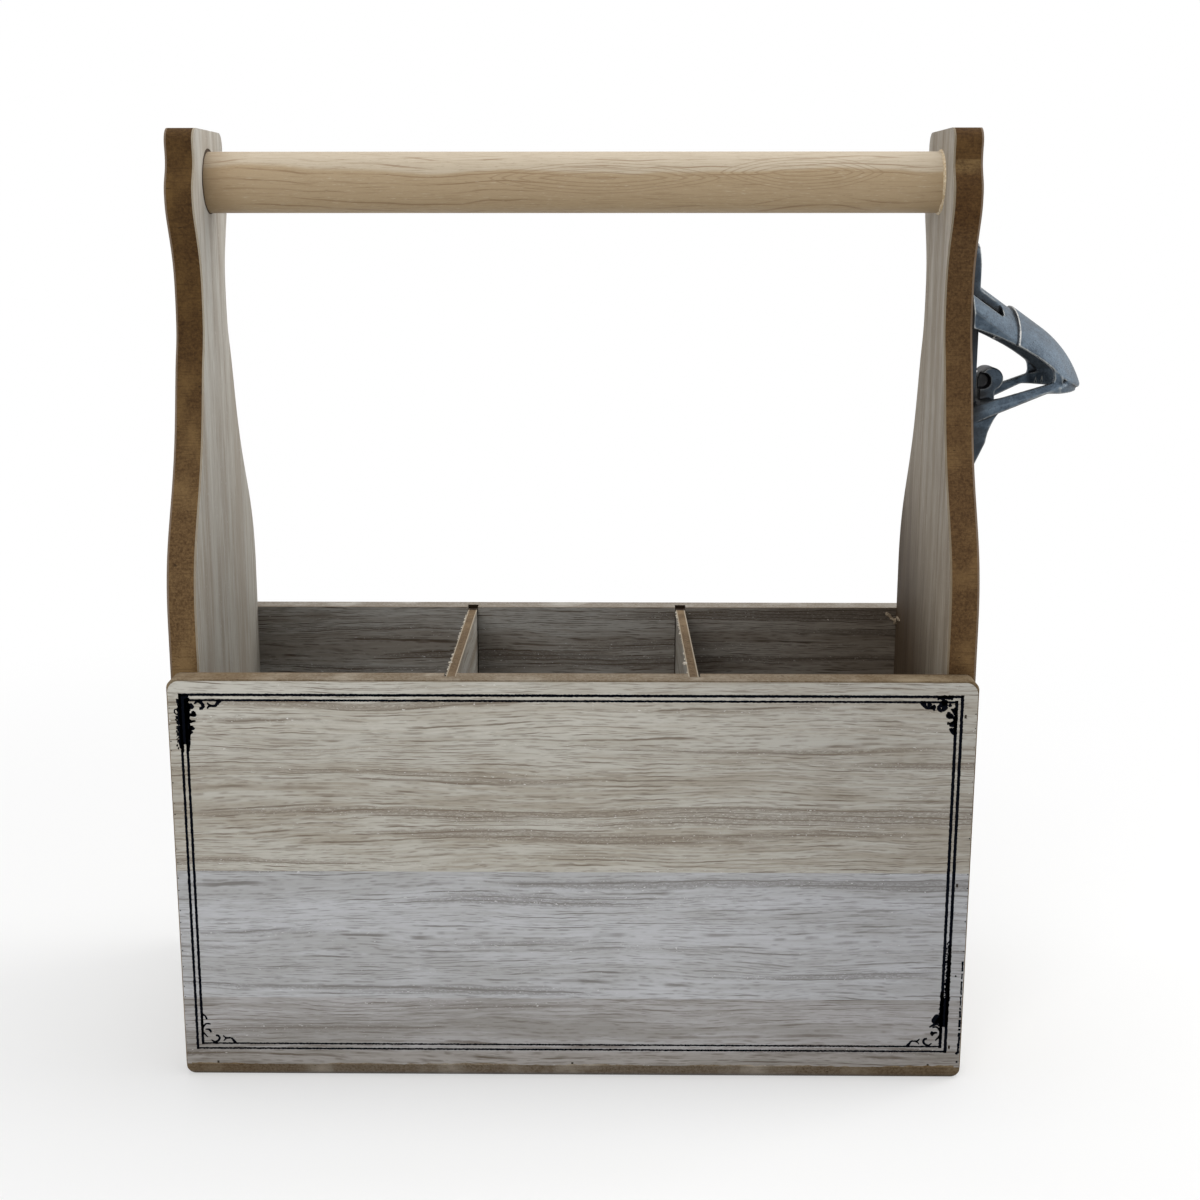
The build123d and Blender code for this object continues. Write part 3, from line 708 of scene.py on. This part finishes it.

# Handle: a turned dowel of bare wood, glued into the two ends, pale above and browner below. Its growth
# rings run the length of the handle and open into nested arches. A painted shadow of the gap between the
# dowel and its hole lies round the dowel on the left end's inner face.

dowel_wood, tree, shader, place = new_material("dowel_wood")
dowel_low, dowel_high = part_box("handle_dowel")
dowel_radius = (dowel_high.z - dowel_low.z) / 2
dowel_axis = (dowel_high.z + dowel_low.z) / 2
axes = add_node(tree, "SeparateXYZ", {0: place}).outputs
wander = cloud(tree, place, (0.05, 0.03, 0.03), 2.0, 0.5)
lift = maths(tree, "DIVIDE", maths(tree, "SUBTRACT", axes[2], dowel_axis), dowel_radius)
arch_middle, arch_length = 0.045, 0.075
arch = maths(tree, "DIVIDE", maths(tree, "SUBTRACT", axes[0], arch_middle), arch_length)
layer = maths(tree, "MULTIPLY_ADD", product(tree, arch, arch), -0.06, lift)
layer = maths(tree, "MULTIPLY_ADD", wander, 1.1, layer)
rings_per_radius = 3.6
turns = maths(tree, "FRACT", product(tree, layer, rings_per_radius))
off_ring = maths(tree, "ABSOLUTE", maths(tree, "SUBTRACT", turns, 0.5))
faint = cloud(tree, place, (0.03, 0.004, 0.004), 2.0, 0.6)
ring_line = product(tree, spread(tree, off_ring, 0.12, 0.02), spread(tree, faint, 0.42, 0.62, 0.05, 0.7))
# Two nests of leaf-shaped rings: the middle and half length of each, and how high it lies on the dowel
leaf_height, leaf_rings = 0.62, 5.5
for centre, half_length, level in ((0.01, 0.04, 0.12), (0.071, 0.028, 0.3)):
    along = maths(tree, "DIVIDE", maths(tree, "SUBTRACT", axes[0], centre), half_length)
    over = maths(tree, "DIVIDE", maths(tree, "SUBTRACT", lift, level), leaf_height)
    over = maths(tree, "ABSOLUTE", over)
    leaf = maths(tree, "ADD", product(tree, along, along), maths(tree, "POWER", over, 1.25))
    leaf = maths(tree, "MULTIPLY_ADD", wander, 0.9, leaf)
    nested = maths(tree, "SUBTRACT", maths(tree, "FRACT", product(tree, leaf, leaf_rings)), 0.5)
    nested = spread(tree, maths(tree, "ABSOLUTE", nested), 0.2, 0.04)
    nested = product(tree, nested, spread(tree, leaf, 1.4, 1.15, 0.0, 0.45))
    ring_line = maths(tree, "MAXIMUM", ring_line, nested)
ring_line = product(tree, ring_line, spread(tree, lift, 0.98, 0.75, 0.1, 1.0))
grain_place = turned(tree, place, "XYZ", (2.0, 0.0, 0.0))
fibre = cloud(tree, grain_place, (0.012, 0.00045, 0.00045), 3.0, 0.65)
ticks = cloud(tree, grain_place, (0.0028, 0.00028, 0.00028), 2.0, 0.6)
sapwood = spread(tree, layer, 0.74, 0.88)
tone = blend_colours(tree, sapwood, srgb(166, 145, 114), srgb(185, 171, 149))
tone = blend_colours(tree, ring_line, tone, srgb(128, 102, 72))
tone = blend_colours(tree, spread(tree, fibre, 0.5, 0.76, 0.0, 0.6), tone, srgb(134, 110, 80))
tone = blend_colours(tree, spread(tree, ticks, 0.6, 0.76, 0.0, 0.5), tone, srgb(120, 96, 68))
tone = blend_colours(tree, spread(tree, ticks, 0.4, 0.26, 0.0, 0.35), tone, srgb(206, 196, 176))
end_tone = spread(tree, axes[0], -0.1, -0.116, 0.0, 0.45)
tone = blend_colours(tree, end_tone, tone, srgb(136, 112, 80))
tree.links.new(tone, shader.inputs["Base Color"])
tree.links.new(spread(tree, fibre, 0.2, 0.8, 0.5, 0.66), shader.inputs["Roughness"])
shader.inputs["Specular IOR Level"].default_value = 0.35
raise_surface(tree, shader, maths(tree, "SUBTRACT", fibre, product(tree, ring_line, 0.4)), 0.00006)
dress("handle_dowel", dowel_wood)

gap_shadow, tree, shader, place = new_material("painted_gap_shadow")
gap_mottle = cloud(tree, place, (0.0008, 0.0008, 0.0008), 3.0, 0.6)
tone = blend_colours(tree, spread(tree, gap_mottle, 0.35, 0.7), srgb(44, 30, 17), srgb(78, 58, 36))
tree.links.new(tone, shader.inputs["Base Color"])
shader.inputs["Roughness"].default_value = 0.9
# Painted shadow: a dark ring round the dowel on the left end's inner face, over the gap and the hole's edge,
# widest at the front and top
hole_rim = bmesh.new()
left_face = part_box("left_end_inside_veneer")[1].x
rim_film, rim_gap, rim_turns = 0.00003, 0.00004, 96
rim_loops = []
for i in range(rim_turns):
    turn = 2 * math.pi * i / rim_turns
    wide = 0.0003 + 0.001 * max(0.0, -math.cos(turn)) + 0.0006 * max(0.0, math.sin(turn)) ** 4
    wide += 0.00012 * noise.noise(Vector((math.cos(turn) * 4, math.sin(turn) * 4, 9.0)))
    loop = []
    for depth, away in ((0.0, rim_gap), (rim_film, rim_gap), (rim_film, wide), (0.0, wide)):
        reach = dowel_radius + away
        spot = (left_face + depth, reach * math.cos(turn), dowel_axis + reach * math.sin(turn))
        loop.append(hole_rim.verts.new(spot))
    rim_loops.append(loop)
for loop, after in zip(rim_loops, rim_loops[1:] + rim_loops[:1]):
    for k in range(4):
        hole_rim.faces.new((loop[k], loop[(k + 1) % 4], after[(k + 1) % 4], after[k]))
new_piece("hole_gap_shadow", hole_rim, gap_shadow, "crate")

# Glue: pale wood glue has squeezed out round the right end of the handle and dried as a rough bead, and
# there is a blob of it high in the back right corner of the crate.

glue, tree, shader, place = new_material("dried_glue")
crust = cloud(tree, place, (0.0008, 0.0008, 0.0008), 3.0, 0.6)
tone = blend_colours(tree, spread(tree, crust, 0.35, 0.7), srgb(176, 152, 116), srgb(214, 200, 172))
tree.links.new(tone, shader.inputs["Base Color"])
tree.links.new(spread(tree, crust, 0.3, 0.7, 0.4, 0.6), shader.inputs["Roughness"])
raise_surface(tree, shader, crust, 0.0002)

glue_random = random.Random(11)
inner_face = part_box("right_end_inside_veneer")[0].x
bead = bmesh.new()
bead_turns, bead_sides = 72, 8
bead_thickness, bead_swell = 0.00075, 0.00045
loops = []
for i in range(bead_turns):
    turn = 2 * math.pi * i / bead_turns
    swell = noise.noise(Vector((math.cos(turn) * 2.2, math.sin(turn) * 2.2, 4.0)))
    thick = bead_thickness + bead_swell * swell + glue_random.uniform(-0.00006, 0.00006)
    loop = []
    for k in range(bead_sides):
        lean = 2 * math.pi * k / bead_sides
        away = dowel_radius + 0.0001 + thick * 0.7 * math.cos(lean)
        x = inner_face - thick * 0.9 * math.sin(lean)
        loop.append(bead.verts.new((x, away * math.cos(turn), dowel_axis + away * math.sin(turn))))
    loops.append(loop)
for loop, after in zip(loops, loops[1:] + loops[:1]):
    for k in range(bead_sides):
        bead.faces.new((loop[k], loop[(k + 1) % bead_sides], after[(k + 1) % bead_sides], after[k]))
new_piece("handle_glue", bead, glue, "crate")

old_glue, tree, shader, place = new_material("old_glue")
crust = cloud(tree, place, (0.0009, 0.0009, 0.0009), 3.0, 0.6)
tone = blend_colours(tree, spread(tree, crust, 0.35, 0.7), srgb(114, 98, 78), srgb(164, 148, 126))
tree.links.new(tone, shader.inputs["Base Color"])
tree.links.new(spread(tree, crust, 0.3, 0.7, 0.45, 0.65), shader.inputs["Roughness"])
raise_surface(tree, shader, crust, 0.0002)
back_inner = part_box("back_inside_veneer")[0].y
blob = bmesh.new()
# Each lump's place from the corner at the given height, then its half sizes and its lean, in millimetres
for place_x, place_y, height, half_sizes, lean in (
    (-2.8, -0.1, 129.4, (1.5, 0.5, 0.7), 0.7),
    (-1.1, -0.4, 127.9, (1.3, 0.6, 0.6), 0.35),
    (-0.4, -1.0, 127.2, (0.6, 0.9, 1.2), 0.0),
    (-0.1, -4.4, 129.0, (0.4, 3.4, 0.7), 0.0),
):
    made = bmesh.ops.create_icosphere(blob, subdivisions=3, radius=1.0)
    for vert in made["verts"]:
        lump = 1 + 0.3 * noise.noise(vert.co * 1.6 + Vector((place_x, place_y, 0.0)))
        x, y, z = (half * value * lump for half, value in zip(half_sizes, vert.co))
        x, z = x * math.cos(lean) + z * math.sin(lean), z * math.cos(lean) - x * math.sin(lean)
        vert.co = (
            inner_face + (place_x + x) / 1000,
            back_inner + (place_y + y) / 1000,
            (height + z) / 1000,
        )
new_piece("corner_glue", blob, old_glue, "crate")

# Torn edges: the saw has torn pale splinters of bare wood out of the veneer along the left upper edge of
# each divider. One near the front is larger. They lift out with their divider.

splinter, tree, shader, place = new_material("torn_veneer")
fuzz = cloud(tree, place, (0.0005, 0.0005, 0.0005), 3.0, 0.6)
tone = blend_colours(tree, spread(tree, fuzz, 0.35, 0.7), srgb(150, 140, 124), srgb(208, 203, 192))
tree.links.new(tone, shader.inputs["Base Color"])
shader.inputs["Roughness"].default_value = 0.85
raise_surface(tree, shader, fuzz, 0.0001)
torn_random = random.Random(23)
splinter_count, splinter_sizes, tear_reach = 34, (0.00028, 0.0004, 0.00058), 0.0445
large_size, large_place = 0.001, -0.029
for side in ("left", "right"):
    veneer_low, veneer_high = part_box(f"{side}_divider_veneers")
    torn = bmesh.new()
    for i in range(splinter_count):
        along = torn_random.uniform(-tear_reach, tear_reach)
        size = torn_random.choice(splinter_sizes) if i else large_size
        along = along if i else large_place
        made = bmesh.ops.create_icosphere(torn, subdivisions=1, radius=size)
        for vert in made["verts"]:
            lump = torn_random.uniform(0.6, 1.3)
            vert.co = (
                veneer_low.x - 0.00008 + vert.co.x * lump * 0.9,
                along + vert.co.y * lump * 1.6,
                veneer_high.z - 0.00018 + vert.co.z * lump * 0.5,
            )
    new_piece(f"{side}_torn_edge", torn, splinter, f"{side}_divider")

# Bottle opener: a zinc casting, left as it came from the die with soft edges and a satin, faintly mottled
# blue-grey skin. Its imported solid is rounded here all over, as the die rounds it. Its sharp ridges carry
# painted highlights, and its undersides and hollows are painted dark as shade.


def softened(node, name, cell, rounds):
    """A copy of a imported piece's mesh, rebuilt in small cells and smoothed so that its edges turn soft."""
    data = nodes[node].data.copy()
    copy = bpy.data.objects.new(name, data)
    bpy.context.scene.collection.objects.link(copy)
    cells = copy.modifiers.new("cells", "REMESH")
    cells.mode = "VOXEL"
    cells.voxel_size = cell
    smooth = copy.modifiers.new("soft", "SMOOTH")
    smooth.factor = 0.5
    smooth.iterations = rounds
    thin = copy.modifiers.new("thin", "DECIMATE")
    thin.ratio = 0.5
    settle = copy.modifiers.new("settle", "SMOOTH")
    settle.factor = 0.5
    settle.iterations = 3
    graph = bpy.context.evaluated_depsgraph_get()
    made = bpy.data.meshes.new_from_object(copy.evaluated_get(graph))
    copy.modifiers.clear()
    copy.data = made
    made.shade_smooth()
    return copy


cast_zinc, tree, shader, place = new_material("cast_zinc")
mottle = cloud(tree, place, (0.0035, 0.0035, 0.0035), 4.0, 0.6)
skin = cloud(tree, place, (0.0006, 0.0006, 0.0006), 3.0, 0.65)
tone = blend_colours(tree, spread(tree, mottle, 0.35, 0.68), srgb(58, 69, 80), srgb(85, 98, 110))
tone = blend_colours(tree, spread(tree, skin, 0.5, 0.72, 0.0, 0.7), tone, srgb(44, 48, 54))
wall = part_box("right_end_face_veneer")[1].x
opener_drop = 0.076
opener_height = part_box("right_end_core")[1].z - opener_drop
axes = add_node(tree, "SeparateXYZ", {0: place}).outputs
geometry = add_node(tree, "NewGeometry").outputs
# Painted highlights lie along the casting's sharp ridges, but not on the smooth top of the hood, where only
# its front rim has them
crown = product(
    tree,
    spread(tree, axes[1], -0.0112, -0.0098),
    spread(tree, axes[2], opener_height - 0.0012, opener_height - 0.0002),
    spread(tree, axes[0], wall + 0.008, wall + 0.01),
)
ridge_highlight = product(
    tree,
    spread(tree, geometry["Pointiness"], 0.508, 0.54, 0.0, 0.7),
    spread(tree, geometry["Pointiness"], 0.61, 0.57),
    maths(tree, "SUBTRACT", 1.0, crown),
)
tone = blend_colours(tree, ridge_highlight, tone, srgb(168, 170, 168))
# Painted shade: faces of the casting that look downward are painted nearly black
underside_shade = spread(tree, add_node(tree, "SeparateXYZ", {0: geometry["Normal"]}).outputs[2], -0.2, -0.75)
tone = blend_colours(tree, product(tree, underside_shade, 0.75), tone, srgb(26, 25, 25))
# The hood's back edge is an arc seen from the side, with a painted highlight along it and a line of painted
# shadow behind it
arc_reach, arc_rise, arc_radius = -0.0109116, 0.018457, 0.0262785
reach = maths(tree, "SUBTRACT", axes[0], wall + arc_reach)
rise = maths(tree, "SUBTRACT", axes[2], opener_height + arc_rise)
from_edge = maths(tree, "ADD", product(tree, reach, reach), product(tree, rise, rise))
from_edge = maths(tree, "SUBTRACT", maths(tree, "SQRT", from_edge), arc_radius)
on_hood = spread(tree, axes[2], opener_height + 0.0088, opener_height + 0.0105)
edge_highlight = product(
    tree,
    spread(tree, from_edge, -0.00015, 0.00005),
    spread(tree, from_edge, 0.00052, 0.00034),
    on_hood,
    spread(tree, mottle, 0.36, 0.58, 0.15, 0.9),
)
edge_shadow = product(
    tree,
    spread(tree, from_edge, -0.0008, -0.0005),
    spread(tree, from_edge, -0.0001, -0.00025),
    on_hood,
    0.85,
)
tone = blend_colours(tree, edge_shadow, tone, srgb(20, 20, 22))
tone = blend_colours(tree, edge_highlight, tone, srgb(184, 182, 178))
# Painted shade: the casting's hollows are painted nearly black and made less metallic
open_air = add_node(tree, "AmbientOcclusion", {"Distance": 0.015}, samples=8).outputs["AO"]
hollow_shade = spread(tree, open_air, 0.84, 0.42)
tone = blend_colours(tree, hollow_shade, tone, srgb(14, 15, 18))
tree.links.new(tone, shader.inputs["Base Color"])
tree.links.new(spread(tree, hollow_shade, 0.0, 1.0, 0.85, 0.2), shader.inputs["Metallic"])
tree.links.new(spread(tree, mottle, 0.3, 0.7, 0.4, 0.56), shader.inputs["Roughness"])
raise_surface(tree, shader, maths(tree, "MULTIPLY_ADD", skin, 0.6, mottle), 0.00018)
cell_size, smoothing_rounds = 0.0003, 10
casting = softened("opener_body", "opener_casting", cell_size, smoothing_rounds)
casting.data.materials.clear()
casting.data.materials.append(cast_zinc)
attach(casting, "crate")
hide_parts("opener_body")

# Screws and brads: two zinc-plated cross-slot screws, with painted shade in their slots, hold the opener.
# Small flat brads, set a little below the veneer, nail the panels to the ends and the floor.

plated, tree, shader, place = new_material("plated_steel")
scuffs = cloud(tree, place, (0.0006, 0.0006, 0.0006), 3.0, 0.6)
tone = blend_colours(tree, spread(tree, scuffs, 0.4, 0.7), srgb(150, 150, 146), srgb(186, 186, 182))
# Painted shade: the screws' slots are painted dark and made less metallic
slot_depth = add_node(tree, "AmbientOcclusion", {"Distance": 0.001}, samples=8).outputs["AO"]
slot_shade = spread(tree, slot_depth, 0.9, 0.6)
tone = blend_colours(tree, slot_shade, tone, srgb(30, 29, 28))
tree.links.new(tone, shader.inputs["Base Color"])
tree.links.new(spread(tree, slot_shade, 0.0, 1.0, 1.0, 0.2), shader.inputs["Metallic"])
tree.links.new(spread(tree, scuffs, 0.3, 0.7, 0.28, 0.45), shader.inputs["Roughness"])
head_ease = 0.0002
dress("opener_screws", plated, head_ease)

dark_steel, tree, shader, place = new_material("dark_steel")
scale_marks = cloud(tree, place, (0.0004, 0.0004, 0.0004), 3.0, 0.6)
tone = blend_colours(tree, spread(tree, scale_marks, 0.4, 0.7), srgb(54, 48, 42), srgb(84, 78, 70))
tree.links.new(tone, shader.inputs["Base Color"])
shader.inputs["Metallic"].default_value = 0.8
tree.links.new(spread(tree, scale_marks, 0.3, 0.7, 0.45, 0.7), shader.inputs["Roughness"])
for name in ("front_brads", "back_brads"):
    dress(name, dark_steel)

# Studio: a white floor and background that fade into each other and keep the caddy's soft shadow, with a
# large lamp above, one in front and one behind on the right.

floor_reach = 6.0
ground = bmesh.new()
bmesh.ops.create_grid(ground, x_segments=4, y_segments=4, size=floor_reach)
ground_data = bpy.data.meshes.new("studio_floor")
ground.to_mesh(ground_data)
ground.free()
floor = bpy.data.objects.new("studio_floor", ground_data)
bpy.context.scene.collection.objects.link(floor)
paper, tree, shader, place = new_material("studio_paper")
paper_tone = cloud(tree, place, (0.4, 0.4, 0.4), 1.0, 0.5)
tone = blend_colours(tree, paper_tone, (0.86, 0.86, 0.86, 1.0), (0.88, 0.88, 0.88, 1.0))
tree.links.new(tone, shader.inputs["Base Color"])
shader.inputs["Roughness"].default_value = 0.95
rays = add_node(tree, "LightPath").outputs
seen = maths(tree, "MAXIMUM", rays["Is Camera Ray"], rays["Is Glossy Ray"])
white = add_node(tree, "Emission", {"Color": (1.0, 1.0, 1.0, 1.0), "Strength": 1.0})
away = add_node(tree, "VectorMath", {0: place}, operation="LENGTH").outputs["Value"]
share = product(tree, seen, spread(tree, away, 0.16, 0.62, 0.4, 1.0))
mixed = add_node(tree, "MixShader", {0: share, 1: shader.outputs[0], 2: white.outputs[0]})
tree.links.new(mixed.outputs[0], tree.nodes["Material Output"].inputs["Surface"])
ground_data.materials.append(paper)

world = bpy.data.worlds.new("studio")
bpy.context.scene.world = world
world.use_nodes = True
tree = world.node_tree
rays = add_node(tree, "LightPath").outputs
seen = maths(tree, "MAXIMUM", rays["Is Camera Ray"], rays["Is Glossy Ray"])
soft_light = add_node(tree, "Background", {"Color": (0.97, 0.985, 1.0, 1.0), "Strength": 0.42})
white_sky = add_node(tree, "Background", {"Color": (1.0, 1.0, 1.0, 1.0), "Strength": 1.0})
sky = add_node(tree, "MixShader", {0: seen, 1: soft_light.outputs[0], 2: white_sky.outputs[0]})
tree.links.new(sky.outputs[0], tree.nodes["World Output"].inputs["Surface"])


def lamp(name, place, aim, size, watts, colour):
    """A soft square lamp at a place, aimed at a point."""
    data = bpy.data.lights.new(name, "AREA")
    data.size = size
    data.energy = watts
    data.color = colour
    made = bpy.data.objects.new(name, data)
    made.location = place
    made.rotation_euler = (Vector(aim) - Vector(place)).to_track_quat("-Z", "Y").to_euler()
    bpy.context.scene.collection.objects.link(made)


middle = (0.0, 0.0, 0.15)
lamp("top_lamp", (0.1, 0.1, 1.5), middle, 1.2, 12.0, (1.0, 0.99, 0.98))
lamp("front_lamp", (-0.55, -1.5, 0.9), middle, 0.9, 9.0, (1.0, 0.99, 0.98))
lamp("right_lamp", (1.35, 0.35, 0.9), middle, 0.9, 9.0, (1.0, 0.99, 0.97))

# Camera: a normal lens in front of the caddy and a little above it, as in the photograph. Its place, lean
# and lens are those that put the caddy's straight edges where the photograph has them.

camera_place = (0.008776, -0.555464, 0.269389)
camera_pitch = 0.21836
camera_yaw = -0.01049
image_side = 1200
focal_pixels = 1698.63
middle_pixel = (583.27, 596.78)
lens = bpy.data.cameras.new("camera")
lens.sensor_width = 36.0
lens.lens = focal_pixels / image_side * lens.sensor_width
lens.shift_x = (image_side / 2 - middle_pixel[0]) / image_side
lens.shift_y = (middle_pixel[1] - image_side / 2) / image_side
lens.clip_start = 0.02
camera = bpy.data.objects.new("camera", lens)
camera.location = camera_place
camera.rotation_euler = (math.pi / 2 - camera_pitch, 0.0, -camera_yaw)
bpy.context.scene.collection.objects.link(camera)
bpy.context.scene.camera = camera
bpy.context.scene.view_settings.view_transform = "Standard"
